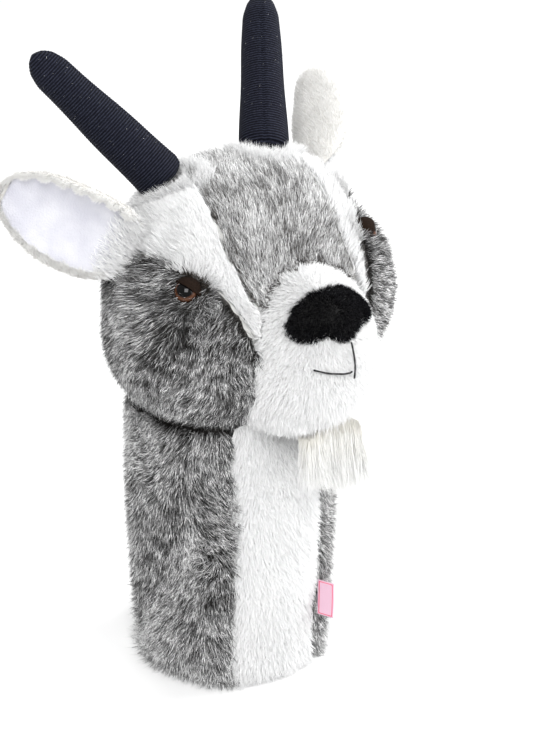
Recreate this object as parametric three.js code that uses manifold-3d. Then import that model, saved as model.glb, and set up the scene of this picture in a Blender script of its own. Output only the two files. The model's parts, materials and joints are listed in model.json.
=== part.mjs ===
// Driver head cover for a golf club: a plush goat's head on a furry neck sleeve.
// Millimetres, +Z up, the face looks along -Y, and the goat's own left side is +X.
// The club's head sits in the pocket inside the goat's head, and its shaft comes down through the neck.

import * as THREE from 'three';
import { mergeVertices } from 'three/addons/utils/BufferGeometryUtils.js';
import Module from 'manifold-3d';

const wasm = await Module();
wasm.setup();

// ---- driving dimensions -------------------------------------------------------------------------

const GAP = 0.3;                    // air between pieces that touch
const PILE = 7;                     // fur fabric: backing and the depth of its pile
const LINING = 1.8;                 // lining fabric

// Neck sleeve, about the Z axis: [height, outer half-width].
const NECK_PROFILE = [[0, 57], [20, 59.5], [60, 61.5], [105, 63], [200, 64]];
const NECK_TOP = 200;               // inside the head: the neck is cut off where it meets the head
const NECK_SEGMENTS = 32;
const NECK_TURN = -8.5;             // degrees: the neck is sewn on turned a little to the goat's right
const BIB_HALF_ANGLE = 29.5;        // degrees, on each side of the bib's middle
const HEM_HEIGHT = 3;
const HEM_INNER_RADIUS = 47;

// Lining of the neck and the pocket: [height, outer half-width].
const LINING_PROFILE = [[HEM_HEIGHT + GAP, 49.6], [30, 51.5], [100, 54], [117, 47.2], [139, 47.2], [150, 50]];
const POCKET_PROFILE = [[150 + GAP, 50], [180, 51], [240, 51], [262, 46], [280, 35], [291, 18]];
const POCKET_TOP = 294;
const POCKET_MOUTH = 52.5;          // half-width of the hole in the fur under the head
const POCKET_WIDENING = 0.2;        // the pocket is this much wider from side to side than front to back
const WIDENING_START = 180;
const WIDENING_END = 225;
const ELASTIC = { bottom: 118, top: 138, inner: 47.5, outer: 49.5 };

// The head is a blend of soft balls: each has a middle and three half-widths.
const HEAD_CORE = new THREE.Vector3(0, -16, 232);
const HEAD_BALLS = [
  { at: [0, 4, 254], half: [76, 65, 71] },       // skull
  { at: [38, -8, 285], half: [34, 34, 38] },     // left brow
  { at: [-38, -8, 285], half: [34, 34, 38] },    // right brow
  { at: [0, 4, 212], half: [74, 72, 56] },       // jowls and nape
  { at: [49, -27, 240], half: [43, 46, 50] },    // left cheek
  { at: [-49, -27, 240], half: [43, 46, 50] },   // right cheek
  { at: [0, -68, 226], half: [42, 42, 44] },     // muzzle
  { at: [0, -50, 250], half: [36, 40, 28] },     // bridge of the nose
];
const BALL_BLEND = 5;
const HEAD_DETAIL = 6;              // subdivisions of the ball that the head is drawn on
const MAX_REACH = 150;
const MOUTH_SEAM_Z = 205;           // the muzzle panel is above it, the chin panel below

// Seams on the sloping face, right half from top to bottom: [across, up the slope] from HEAD_CORE.
const FACE_TILT = Math.PI / 4;
const FOREHEAD_SEAM = [[0, 90], [14, 87], [27, 76], [37, 62], [39.5, 48], [39.5, 36], [40, 20], [38.5, 2],
  [36, -12], [32, -26], [0, -40]];
const STRIPE_SEAM = [[0, 96], [28, 95], [48, 88], [62, 75], [70, 60], [72, 49], [70, 38], [64, 25], [56, 12],
  [49, -6], [45, -20], [38, -36], [0, -46]];

// Seams seen from the front, right half from top to bottom: [across, height].
const MUZZLE_SEAM = [[0, 277], [16, 274], [29, 266], [37, 254], [41, 238], [40, 218], [35, 199], [24, 184],
  [0, 176]];
const NOSE_SEAM = [[0, 268.5], [10, 267.5], [18, 264], [24, 259], [28, 253.5], [26, 250], [20, 250],
  [12, 252.5], [6, 249.5], [0, 248.5]];
const MUZZLE_START_Y = 45;          // the muzzle's cut starts this far in front of the neck's axis
const NOSE_PROUD = 2.5;
const MUZZLE_STUFFING_Y = 68;       // the muzzle's own stuffing starts this far in front of the neck's axis

// Seen from behind: the panel at the back of the head.
const BACK_SEAM = [[0, 400], [36, 400], [42, 300], [44, 240], [40, 180], [34, 120], [0, 120]];
const BACK_START_Y = 5;

// Roots are directions from HEAD_CORE, on the goat's left; lean is the way the piece grows.
const HORN = {
  root: new THREE.Vector3(37.5, 30, 84), lean: new THREE.Vector3(0.457, 0.574, 0.68),
  sunk: 2.5, wall: 1.5, flatness: 1.03,
  profile: [[1.5, 13.4], [6, 14.8], [35, 13.5], [65, 12.2], [90, 10.9], [98, 8.6], [103, 4.6]],
  mouth: 9, lip: 0.8, length: 105, segments: 12,
};
const HORN_SOCKET = { wide: 18, deep: 18.4, below: 8, above: 14 };
const EAR = {
  root: { left: new THREE.Vector3(72, 26, 66), right: new THREE.Vector3(77, 20, 61.5) },
  lean: { left: new THREE.Vector3(0.55, 0.68, 0.485), right: new THREE.Vector3(0.667, 0.609, 0.435) },
  turn: { left: 25, right: 0 },       // degrees: the left ear has dropped outwards
  buried: 5, length: 84,
  halfWidth: 31, ply: 3.8, cupRadius: 34, rootPower: 3, tipPower: 1.6, rings: 9, sides: 14,
};
const SOCKET_SIDES = 14;
const EAR_SOCKET = { wide: 28, deep: 13, below: 9, above: 14, forwards: 3 };
// Heights on an eye, its washer and its lid are from the eye's flat base, which is sunk in the fur.
const EYE = {
  root: new THREE.Vector3(63, -26, 41.5), sunk: 3,
  radius: 7, dome: 4.5, shank: 2, shankEnd: -11, segments: 16,
};
const WASHER = { outer: 7.5, top: -6.2, bottom: -7.7 };
const EYELID = { gap: 0.35, wall: 1.2, bottom: -0.9, edge: 1.2, roll: 0.45 };
const THREAD = { halfWidth: 0.8, lift: 1.4, steps: 8 };
const BEARD = {
  y: -84, lean: 0.3, gap: 2.4, halfWidth: 21, halfThickness: 5, segments: 14,
  profile: [[0, 0], [0.75, 2], [1, 12], [0.85, 30], [0.5, 43], [0, 48]],
};
const LABEL = { z: 47.5, radius: 62.4, width: 11, height: 25, thickness: 1 };

// ---- meshes and solids --------------------------------------------------------------------------

// A closed three.js geometry as a solid that can be joined and cut.
function toSolid(geometry) {
  const bare = geometry.clone();
  bare.deleteAttribute('normal');
  bare.deleteAttribute('uv');
  const merged = mergeVertices(bare, 1e-4);
  const vertProperties = merged.attributes.position.array;
  const triVerts = new Uint32Array(merged.index.array);
  return new wasm.Manifold(new wasm.Mesh({ numProp: 3, vertProperties, triVerts }));
}

function toGeometry(solid) {
  const mesh = solid.getMesh();
  const geometry = new THREE.BufferGeometry();
  geometry.setAttribute('position', new THREE.BufferAttribute(new Float32Array(mesh.vertProperties), 3));
  geometry.setIndex(new THREE.BufferAttribute(new Uint32Array(mesh.triVerts), 1));
  geometry.computeVertexNormals();
  return geometry;
}

// A solid of revolution about Z from [radius, height] pairs, anticlockwise in the radius-height plane.
function lathe(profile, segments) {
  const points = profile.map(([radius, height]) => new THREE.Vector2(radius, height));
  return new THREE.LatheGeometry(points, segments).rotateX(Math.PI / 2);
}

function ringProfile({ inner, outer, bottom, top }) {
  return [[inner, bottom], [outer, bottom], [outer, top], [inner, top], [inner, bottom]];
}

// Moves a geometry drawn about the origin to a place, with its Z axis along `up` and its X axis near `side`.
function stand(geometry, place, up, side) {
  const zAxis = up.clone().normalize();
  const yAxis = zAxis.clone().cross(side).normalize();
  const xAxis = yAxis.clone().cross(zAxis);
  const matrix = new THREE.Matrix4().makeBasis(xAxis, yAxis, zAxis).setPosition(place);
  return geometry.applyMatrix4(matrix);
}

// A geometry mirrored in X, with its faces still pointing outwards.
function reflected(geometry) {
  const mirrorImage = geometry.clone().scale(-1, 1, 1);
  mirrorImage.setIndex(Array.from(geometry.index.array).reverse());
  return mirrorImage;
}

// A closed outline moved outwards by a distance.
function outset(outline, distance) {
  const count = outline.length;
  return outline.map((point, i) => {
    const along = outline[(i + 1) % count].clone().sub(outline[(i + count - 1) % count]).normalize();
    return new THREE.Vector2(point.x + along.y * distance, point.y - along.x * distance);
  });
}

// A smooth closed outline, anticlockwise, through a few [across, up] points.
function smoothOutline(points, count) {
  const knots = points.map(([across, up]) => new THREE.Vector3(across, up, 0));
  const curve = new THREE.CatmullRomCurve3(knots, true);
  const outline = curve.getPoints(count).slice(0, -1).map((point) => new THREE.Vector2(point.x, point.y));
  return THREE.ShapeUtils.isClockWise(outline) ? outline.reverse() : outline;
}

// The right half's points, from top to bottom, followed by their mirror images from bottom to top.
function mirrored(points) {
  const other = points.filter(([across]) => across !== 0).map(([across, up]) => [-across, up]);
  return [...points, ...other.reverse()];
}

function prism(outline, near, far, place) {
  const shape = new THREE.Shape(outline);
  const geometry = new THREE.ExtrudeGeometry(shape, { depth: far - near, bevelEnabled: false });
  geometry.translate(0, 0, near);
  return toSolid(place(geometry));
}

// Cuts a solid along an outline, and returns what is inside it and what is left outside it.
function cutOut(solid, outline, near, far, place) {
  const inside = solid.intersect(prism(outline, near, far, place));
  const outside = solid.subtract(prism(outset(outline, GAP), near - GAP, far, place));
  return [inside, outside];
}

// The two parts of a solid above and below a level along an axis, with a gap between them.
function halves(solid, axis, level) {
  const size = 1000;
  return [1, -1].map((way) => {
    const box = new THREE.BoxGeometry(size, size, size);
    const shift = new THREE.Vector3();
    shift[axis] = level + (way * (size + GAP)) / 2;
    return solid.intersect(toSolid(box.translate(shift.x, shift.y, shift.z)));
  });
}

// ---- the head's form ----------------------------------------------------------------------------

// Below zero inside the blended balls, above zero outside, and close to a distance in between.
function headField(point) {
  let sum = 0;
  for (const { at, half } of HEAD_BALLS) {
    const offset = [point.x - at[0], point.y - at[1], point.z - at[2]];
    const reach = Math.hypot(...offset.map((distance, axis) => distance / half[axis]));
    sum += Math.exp(((1 - reach) * Math.min(...half)) / BALL_BLEND);
  }
  return -BALL_BLEND * Math.log(sum);
}

// The point where a straight line from far outside first meets the head's surface.
function meetHead(start, direction, reach) {
  const step = 3;
  const at = (distance) => start.clone().addScaledVector(direction, distance);
  let outer = reach;
  while (outer > 0 && headField(at(outer)) > 0) outer -= step;
  let low = outer;
  let high = outer + step;
  for (let i = 0; i < 20; i += 1) {
    const middle = (low + high) / 2;
    if (headField(at(middle)) > 0) high = middle;
    else low = middle;
  }
  return at(low);
}

// Outward direction of the head's surface at a point.
function headNormal(point) {
  const step = 0.5;
  const slope = (x, y, z) => headField(point.clone().add(new THREE.Vector3(x, y, z)));
  const normal = new THREE.Vector3(
    slope(step, 0, 0) - slope(-step, 0, 0),
    slope(0, step, 0) - slope(0, -step, 0),
    slope(0, 0, step) - slope(0, 0, -step),
  );
  return normal.normalize();
}

const onHead = (direction) => meetHead(HEAD_CORE, direction.clone().normalize(), MAX_REACH);
const onFace = (x, z) => meetHead(new THREE.Vector3(x, 0, z), new THREE.Vector3(0, -1, 0), MAX_REACH);

// The whole head as one closed form, this far below its outer surface.
const ballDirections = (() => {
  const ball = new THREE.IcosahedronGeometry(1, HEAD_DETAIL);
  ball.deleteAttribute('normal');
  ball.deleteAttribute('uv');
  return mergeVertices(ball, 1e-4);
})();

const headRadii = (() => {
  const positions = ballDirections.attributes.position;
  const direction = new THREE.Vector3();
  const radii = [];
  for (let i = 0; i < positions.count; i += 1) {
    radii.push(onHead(direction.fromBufferAttribute(positions, i)).distanceTo(HEAD_CORE));
  }
  return radii;
})();

function headForm(depth) {
  const form = ballDirections.clone();
  const positions = form.attributes.position;
  const point = new THREE.Vector3();
  headRadii.forEach((radius, i) => {
    point.fromBufferAttribute(positions, i).normalize().multiplyScalar(radius - depth).add(HEAD_CORE);
    positions.setXYZ(i, point.x, point.y, point.z);
  });
  return toSolid(form);
}

// ---- materials ----------------------------------------------------------------------------------

function fabric(color, roughness = 0.95) {
  return new THREE.MeshStandardMaterial({ color, roughness, metalness: 0 });
}

const looks = {
  foreheadFur: () => fabric(0x969696),
  greyFur: () => fabric(0x6b6c6e),
  whiteFur: () => fabric(0xeceded),
  creamFur: () => fabric(0xe8e5df),
  whiteSatin: () => fabric(0xececf2, 0.6),
  noseFur: () => fabric(0x151517),
  hornKnit: () => fabric(0x1a1c27),
  stuffing: () => fabric(0xf2f2f0),
  lining: () => fabric(0x2a2a2c),
  elastic: () => fabric(0xd8d8d4, 0.7),
  thread: () => fabric(0x101012, 0.6),
  eyePlastic: () => new THREE.MeshStandardMaterial({ color: 0x3a2016, roughness: 0.08, metalness: 0 }),
  washerPlastic: () => new THREE.MeshStandardMaterial({ color: 0xe6e6e0, roughness: 0.5, metalness: 0 }),
  eyelid: () => fabric(0x322a26),
  labelTape: () => fabric(0xf0e4ea, 0.6),
};

const cover = new THREE.Group();

function addPart(name, shape, material) {
  const geometry = shape.isBufferGeometry ? shape : toGeometry(shape);
  const mesh = new THREE.Mesh(geometry, material());
  mesh.name = name;
  cover.add(mesh);
}

// ---- neck sleeve and lining ---------------------------------------------------------------------

// Linear between the points of a [height, half-width] list, moved in by a depth.
const inwards = (profile, depth) => profile.map(([height, radius]) => [radius - depth, height]);

// A tube wall between two depths below a profile.
function wall(profile, outerDepth, innerDepth, segments) {
  return lathe([...inwards(profile, outerDepth), ...inwards(profile, innerDepth).reverse(),
    inwards(profile, outerDepth)[0]], segments);
}

function sector(fromDegrees, toDegrees) {
  const reach = 120;
  const steps = 12;
  const outline = [new THREE.Vector2(0, 0)];
  for (let i = 0; i <= steps; i += 1) {
    const angle = THREE.MathUtils.degToRad(fromDegrees + ((toDegrees - fromDegrees) * i) / steps);
    outline.push(new THREE.Vector2(reach * Math.sin(angle), -reach * Math.cos(angle)));
  }
  return outline;
}

const upright = (geometry) => geometry;
const neckFrom = HEM_HEIGHT + GAP;
const neckOutline = [[neckFrom, 57.4], ...NECK_PROFILE.slice(1)];
const neckSleeve = toSolid(wall(neckOutline, 0, PILE, NECK_SEGMENTS)).subtract(headForm(-GAP));
const bibStart = NECK_TURN - BIB_HALF_ANGLE;
const bibEnd = NECK_TURN + BIB_HALF_ANGLE;
const backSeam = NECK_TURN + 180;

const [bib, neckSides] = cutOut(neckSleeve, sector(bibStart, bibEnd), 0, NECK_TOP + 1, upright);
const [leftNeck, rightNeck] = cutOut(neckSides, sector(bibEnd - 5, backSeam), 0, NECK_TOP + 1, upright);
addPart('neck_bib', bib, looks.whiteFur);
addPart('neck_panel_left', leftNeck, looks.greyFur);
addPart('neck_panel_right', rightNeck, looks.greyFur);

const hemOuter = NECK_PROFILE[0][1];
addPart('hem_binding', lathe([[HEM_INNER_RADIUS, 0], [hemOuter - 1, 0], [hemOuter, 1], [hemOuter, HEM_HEIGHT],
  [HEM_INNER_RADIUS, HEM_HEIGHT], [HEM_INNER_RADIUS, 0]], NECK_SEGMENTS), looks.greyFur);
addPart('neck_lining', wall(LINING_PROFILE, 0, LINING, NECK_SEGMENTS), looks.lining);
addPart('neck_elastic', lathe(ringProfile(ELASTIC), NECK_SEGMENTS), looks.elastic);

// Widens the pocket's shapes from side to side above the neck.
function widened(geometry) {
  const positions = geometry.attributes.position;
  for (let i = 0; i < positions.count; i += 1) {
    const rise = THREE.MathUtils.smoothstep(positions.getZ(i), WIDENING_START, WIDENING_END);
    positions.setX(i, positions.getX(i) * (1 + POCKET_WIDENING * rise));
  }
  return geometry;
}

// The pocket's outside, this much larger or smaller all round.
function pocketProfile(growth) {
  return [...inwards(POCKET_PROFILE, -growth), [0, POCKET_TOP + growth]];
}

const pocketWall = [...pocketProfile(0), ...pocketProfile(-LINING).reverse(), pocketProfile(0)[0]];
addPart('pocket_lining', widened(lathe(pocketWall, NECK_SEGMENTS)), looks.lining);
const pocketSpaceBottom = 120;
const pocketSpace = toSolid(widened(lathe([[0, pocketSpaceBottom], [POCKET_PROFILE[0][1], pocketSpaceBottom],
  ...pocketProfile(GAP)], NECK_SEGMENTS)));

// ---- head panels --------------------------------------------------------------------------------

const facePlane = (geometry) => geometry.rotateX(FACE_TILT).translate(HEAD_CORE.x, HEAD_CORE.y, HEAD_CORE.z);
const frontPlane = (geometry) => geometry.rotateX(Math.PI / 2);
const FAR = 160;

const neckHole = toSolid(lathe([[0, 100], [POCKET_MOUTH, 100], [POCKET_MOUTH, NECK_TOP], [0, NECK_TOP]],
  NECK_SEGMENTS));
const headOuter = headForm(0);
const headUnderPile = headForm(PILE);
const furShell = headOuter.subtract(headUnderPile).subtract(neckHole);

const seam = (points, count) => smoothOutline(mirrored(points), count);
const noseOutline = seam(NOSE_SEAM, 36);
const muzzleOutline = seam(MUZZLE_SEAM, 30);

const noseBlock = (outline) => prism(outline, MUZZLE_START_Y, FAR, frontPlane);
const nose = headForm(-NOSE_PROUD).subtract(headUnderPile).intersect(noseBlock(noseOutline));
const shellRoundNose = furShell.subtract(noseBlock(outset(noseOutline, GAP)));
const [muzzleAndChin, behindMuzzle] = cutOut(shellRoundNose, muzzleOutline, MUZZLE_START_Y, FAR, frontPlane);
const [forehead, roundForehead] = cutOut(behindMuzzle, seam(FOREHEAD_SEAM, 32), 0, FAR, facePlane);
const [stripes, behindStripes] = cutOut(roundForehead, seam(STRIPE_SEAM, 38), 0, FAR, facePlane);
const backOutline = mirrored(BACK_SEAM).map((point) => new THREE.Vector2(...point)).reverse();
const [headBack, cheeks] = cutOut(behindStripes, backOutline, -FAR, -BACK_START_Y, frontPlane);

// ---- what grows out of the head -----------------------------------------------------------------

const SIDES = [['left', 1], ['right', -1]];
const X_AXIS = new THREE.Vector3(1, 0, 0);
const Z_UP = new THREE.Vector3(0, 0, 1);
const mirror = (vector, side) => new THREE.Vector3(vector.x * side, vector.y, vector.z);

// Where a horn or ear leaves the head, the way it grows, and the level direction it faces.
function rootFrame(root, lean, side) {
  const up = mirror(lean, side).normalize();
  const facing = up.clone().cross(Z_UP).multiplyScalar(side).normalize();
  return { place: onHead(mirror(root, side)), up, facing };
}

// An oval post that clears the fur round a root.
function socket({ wide, deep, below, above }, place, up, across) {
  const post = new THREE.CylinderGeometry(1, 1, above + below, SOCKET_SIDES).rotateX(Math.PI / 2);
  post.translate(0, 0, (above - below) / 2).scale(wide, deep, 1);
  return toSolid(stand(post, place, up, across));
}

function addHorn(name, side) {
  const { place, up, facing } = rootFrame(HORN.root, HORN.lean, side);
  const base = place.clone().addScaledVector(up, -HORN.sunk);
  const fit = (profile) => stand(lathe(profile, HORN.segments).scale(1, HORN.flatness, 1), base, up, facing);
  const [[floor, floorRadius], ...rest] = HORN.profile;
  const outer = inwards(HORN.profile, 0);
  const inner = inwards([[floor + GAP, floorRadius], ...rest], HORN.wall);
  const fill = inwards([[floor + 2 * GAP, floorRadius], ...rest], HORN.wall + GAP);
  const [lip, end] = [HORN.lip, HORN.length - HORN.wall];
  const mouth = [[HORN.mouth, lip], [HORN.mouth, -lip]];
  const sleeve = [[0, end], ...inner.reverse(), ...mouth, ...outer, [0, HORN.length]];
  const plug = [[0, 0], [HORN.mouth - GAP, 0], [HORN.mouth - GAP, lip + GAP], ...fill, [0, end - GAP]];
  addPart(`horn_sleeve_${name}`, fit(sleeve), looks.hornKnit);
  addPart(`horn_fill_${name}`, fit(plug), looks.stuffing);
  return socket(HORN_SOCKET, place, up, facing);
}

// One ply of an ear: half a lens with a flat side, bent to a cup. The front ply has face 1, the back ply -1.
function earPly(face) {
  const ball = new THREE.SphereGeometry(1, EAR.sides, EAR.rings);
  const ply = face > 0 ? ball : reflected(ball);   // so that the flat sides have matching facets
  const positions = ply.attributes.position;
  for (let i = 0; i < positions.count; i += 1) {
    const along = THREE.MathUtils.clamp(positions.getY(i), -1, 1);
    const girth = Math.hypot(positions.getX(i), positions.getZ(i));
    const across = girth > 1e-6 ? positions.getX(i) / girth : 0;
    const proud = girth > 1e-6 ? positions.getZ(i) / girth : 0;
    const power = along < 0 ? EAR.rootPower : EAR.tipPower;
    const fullness = Math.sqrt(Math.max(0, 1 - Math.abs(along) ** power));
    const thickness = face > 0 ? Math.max(proud, 0) : Math.min(proud, 0);
    const level = EAR.ply * fullness * thickness + (face * GAP) / 2;
    const angle = (across * fullness * EAR.halfWidth) / EAR.cupRadius;
    positions.setXYZ(
      i,
      -(EAR.cupRadius - level) * Math.sin(angle),
      EAR.cupRadius - (EAR.cupRadius - level) * Math.cos(angle),
      (EAR.length * (along + 1)) / 2 - EAR.buried,
    );
  }
  return ply;
}

function addEar(name, side) {
  const { place, up, facing } = rootFrame(EAR.root[name], EAR.lean[name], side);
  facing.applyAxisAngle(up, side * THREE.MathUtils.degToRad(EAR.turn[name]));
  const across = facing.clone().cross(up);
  addPart(`ear_front_${name}`, stand(earPly(1), place, up, across), looks.whiteSatin);
  addPart(`ear_back_${name}`, stand(earPly(-1), place, up, across), looks.creamFur);
  return socket(EAR_SOCKET, place.clone().addScaledVector(facing, EAR_SOCKET.forwards), up, across);
}

// The middle and half-width of the ball that an eye's dome is part of, from the eye's base.
const eyeBall = (EYE.radius ** 2 + EYE.dome ** 2) / (2 * EYE.dome);
const eyeBallZ = EYE.dome - eyeBall;

function eyeProfile() {
  const rim = Math.asin(EYE.radius / eyeBall);
  const steps = 5;
  const dome = [];
  for (let i = 0; i <= steps; i += 1) {
    const angle = rim * (1 - i / steps);
    dome.push([eyeBall * Math.sin(angle), eyeBallZ + eyeBall * Math.cos(angle)]);
  }
  return [[0, EYE.shankEnd], [EYE.shank, EYE.shankEnd], [EYE.shank, -1], [EYE.radius - 0.2, -1], ...dome];
}

function eyelidShape(side) {
  const inner = eyeBall + EYELID.gap;
  const ball = (radius) => toSolid(new THREE.SphereGeometry(radius, 20, 12).translate(0, 0, eyeBallZ));
  const size = 40;
  const keep = new THREE.BoxGeometry(size, size, size);
  keep.translate(0, size / 2 + EYELID.edge, size / 2 + EYELID.bottom);
  const lid = ball(inner + EYELID.wall).subtract(ball(inner)).intersect(toSolid(keep));
  return toGeometry(lid).rotateZ(side * EYELID.roll);
}

// Adds an eye, its lid and its washer, and returns what they need cleared in the fur and in the stuffing.
function addEye(name, side) {
  const surface = onHead(mirror(EYE.root, side));
  const up = headNormal(surface);
  const base = surface.clone().addScaledVector(up, -EYE.sunk);
  const level = Z_UP.clone().cross(up).normalize();
  const fit = (geometry) => stand(geometry, base, up, level);
  const disc = (radius, from, to) => lathe([[0, from], [radius, from], [radius, to], [0, to]], EYE.segments);
  addPart(`eye_${name}`, fit(lathe(eyeProfile(), EYE.segments)), looks.eyePlastic);
  addPart(`eyelid_${name}`, fit(eyelidShape(side)), looks.eyelid);
  const hole = EYE.shank + GAP;
  const washer = lathe(ringProfile({ ...WASHER, inner: hole }), EYE.segments);
  addPart(`eye_washer_${name}`, fit(washer), looks.washerPlastic);
  const recess = toSolid(fit(disc(eyeBall + EYELID.gap + EYELID.wall + GAP, -1 - GAP, 20)));
  const furHole = recess.add(toSolid(fit(disc(hole, -20, 0))));
  const stuffingHole = toSolid(fit(disc(WASHER.outer + GAP, EYE.shankEnd - GAP, 0)));
  return { furHole, stuffingHole };
}

let furHoles = toSolid(new THREE.SphereGeometry(1, 8, 6));
let stuffingHoles = toSolid(new THREE.SphereGeometry(1, 8, 6));
for (const [name, side] of SIDES) {
  const { furHole, stuffingHole } = addEye(name, side);
  furHoles = furHoles.add(addHorn(name, side)).add(addEar(name, side)).add(furHole);
  stuffingHoles = stuffingHoles.add(stuffingHole);
}

// ---- panels and stuffing ------------------------------------------------------------------------

const pierced = (panel) => panel.subtract(furHoles);

function addPair(name, solid, material) {
  const [left, right] = halves(pierced(solid), 'x', 0);
  addPart(`${name}_left`, left, material);
  addPart(`${name}_right`, right, material);
}

addPart('forehead_panel', pierced(forehead), looks.foreheadFur);
addPart('head_back_panel', pierced(headBack), looks.greyFur);
addPair('stripe', stripes, looks.whiteFur);
addPair('cheek', cheeks, looks.greyFur);
const [muzzle, chin] = halves(muzzleAndChin, 'z', MOUTH_SEAM_Z);
addPart('muzzle_panel', muzzle, looks.whiteFur);
addPart('chin_panel', chin, looks.whiteFur);
addPart('nose_pad', nose, looks.noseFur);

const allStuffing = headForm(PILE + GAP).subtract(pocketSpace).subtract(stuffingHoles);
const [muzzleStuffing, headStuffing] = cutOut(allStuffing, muzzleOutline, MUZZLE_STUFFING_Y, FAR, frontPlane);
addPart('muzzle_stuffing', muzzleStuffing, looks.stuffing);
addPart('head_stuffing', headStuffing, looks.stuffing);

// ---- mouth, beard and label ---------------------------------------------------------------------

// A stitch along the muzzle, through [across, height] points seen from the front.
function addStitch(name, points) {
  const path = new THREE.CatmullRomCurve3(points.map(([x, z]) => {
    const point = onFace(x, z);
    return point.addScaledVector(headNormal(point), THREAD.lift);
  }));
  const section = new THREE.Shape();
  section.absarc(0, 0, THREAD.halfWidth, 0, 2 * Math.PI);
  const options = { steps: THREAD.steps, extrudePath: path, curveSegments: 3 };
  addPart(`mouth_stitch_${name}`, new THREE.ExtrudeGeometry(section, options), looks.thread);
}

addStitch('centre', [[0, 246], [0.8, 236], [0, 224]]);
addStitch('right', [[-3.5, 229.5], [-14, 231], [-25, 235]]);

const overBeard = new THREE.Vector3(0, BEARD.y, HEAD_CORE.z);
const beardRoot = meetHead(overBeard, new THREE.Vector3(0, 0, -1), MAX_REACH);
const beardWay = new THREE.Vector3(0, -Math.sin(BEARD.lean), -Math.cos(BEARD.lean));
const beard = lathe(BEARD.profile, BEARD.segments).scale(BEARD.halfWidth, BEARD.halfThickness, 1);
const beardTop = beardRoot.addScaledVector(beardWay, BEARD.gap);
addPart('beard_tuft', stand(beard, beardTop, beardWay, X_AXIS), looks.whiteFur);

const label = new THREE.BoxGeometry(LABEL.width, LABEL.thickness, LABEL.height);
label.translate(LABEL.radius + LABEL.width / 2, 0, LABEL.z).rotateZ(THREE.MathUtils.degToRad(bibEnd - 90));
addPart('side_label', label, looks.labelTape);

// The origin is under the middle of the whole cover's box, on the surface it stands on.
const box = new THREE.Box3().setFromObject(cover);
cover.position.y = -(box.min.y + box.max.y) / 2;
cover.position.x = -(box.min.x + box.max.x) / 2;

export default cover;
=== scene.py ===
"""Looks of the goat's head driver cover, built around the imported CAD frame.

Metres, +Z up, the face looks along -Y, and the goat's own left side is +X.
"""

import json
import math

import bpy
import numpy as np
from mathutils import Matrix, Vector
from mathutils.bvhtree import BVHTree


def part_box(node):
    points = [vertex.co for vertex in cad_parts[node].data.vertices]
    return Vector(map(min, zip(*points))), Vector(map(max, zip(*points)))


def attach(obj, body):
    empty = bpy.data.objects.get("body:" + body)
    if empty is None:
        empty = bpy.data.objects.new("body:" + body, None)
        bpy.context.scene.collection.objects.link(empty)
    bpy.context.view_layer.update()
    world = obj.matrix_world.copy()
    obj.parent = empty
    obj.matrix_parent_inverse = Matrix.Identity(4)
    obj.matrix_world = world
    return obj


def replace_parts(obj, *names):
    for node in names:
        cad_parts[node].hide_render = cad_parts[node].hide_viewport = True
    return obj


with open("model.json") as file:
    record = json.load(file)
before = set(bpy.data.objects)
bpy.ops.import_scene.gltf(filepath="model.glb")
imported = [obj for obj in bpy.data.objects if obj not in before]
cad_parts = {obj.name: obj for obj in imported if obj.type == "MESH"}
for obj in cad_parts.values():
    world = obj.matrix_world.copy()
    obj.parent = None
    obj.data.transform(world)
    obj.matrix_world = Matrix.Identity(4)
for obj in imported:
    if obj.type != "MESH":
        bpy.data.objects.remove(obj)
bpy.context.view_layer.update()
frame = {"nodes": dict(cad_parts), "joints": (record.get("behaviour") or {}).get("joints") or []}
MM = 0.001
SIDES = {"left": 1, "right": -1}

# ---- places -------------------------------------------------------------------------------------


def box_middle(node):
    low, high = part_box(node)
    return (np.array(low) + np.array(high)) / 2


NECK = box_middle("hem_binding") * (1, 1, 0)  # the foot of the neck's axis
HEAD_CORE = NECK + np.array([0, -16, 232]) * MM
NOSE = box_middle("nose_pad")
JOINTS = {joint["name"]: joint for joint in frame["joints"]}
# Unit vectors: the way the left horn and each ear point, and the way the left eye looks.
HORN_UP = np.array([0.457, 0.574, 0.680])
EAR_UP = {"left": np.array([0.550, 0.680, 0.485]), "right": np.array([-0.665, 0.608, 0.434])}
EYE_OUT = np.array([0.579, -0.438, 0.688])


def unit(v):
    v = np.asarray(v, float)
    return v / np.maximum(np.linalg.norm(v, axis=-1, keepdims=True), 1e-12)


def dot(a, b):
    return (a * b).sum(-1, keepdims=True)


def mirror(v, side):
    return np.array([v[0] * side, v[1], v[2]])


def from_core(points):
    return unit(points - HEAD_CORE)


def from_axis(points):
    return unit((points - NECK) * (1, 1, 0))


# ---- meshes -------------------------------------------------------------------------------------


def read(items, key, width, kind=np.float32):
    found = np.zeros(len(items) * width, kind)
    items.foreach_get(key, found)
    return found.reshape(-1, width)


def triangles_of(mesh):
    mesh.calc_loop_triangles()
    return read(mesh.loop_triangles, "vertices", 3, np.int32)


def edges_of(mesh):
    return read(mesh.edges, "vertices", 2, np.int32)


def points_of(mesh):
    return read(mesh.vertices, "co", 3).astype(float)


def normals_of(mesh):
    return read(mesh.vertices, "normal", 3).astype(float)


def move_points(mesh, points):
    mesh.vertices.foreach_set("co", points.astype(np.float32).ravel())
    mesh.update()


def smooth_faces(mesh):
    mesh.polygons.foreach_set("use_smooth", np.ones(len(mesh.polygons), bool))


def face_outwards(mesh, middle=(0, 0, 0)):
    """Turns a closed mesh's faces round if they look inwards."""
    if sum(p.normal.dot(p.center - Vector(middle)) * p.area for p in mesh.polygons) < 0:
        mesh.flip_normals()


def link(name, data):
    obj = bpy.data.objects.new(name, data)
    bpy.context.scene.collection.objects.link(obj)
    return obj


def add_object(name, mesh, body, slot, *materials):
    obj = link(name, mesh)
    for material in materials:
        mesh.materials.append(material)
    if body:
        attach(obj, body)
    return obj


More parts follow.
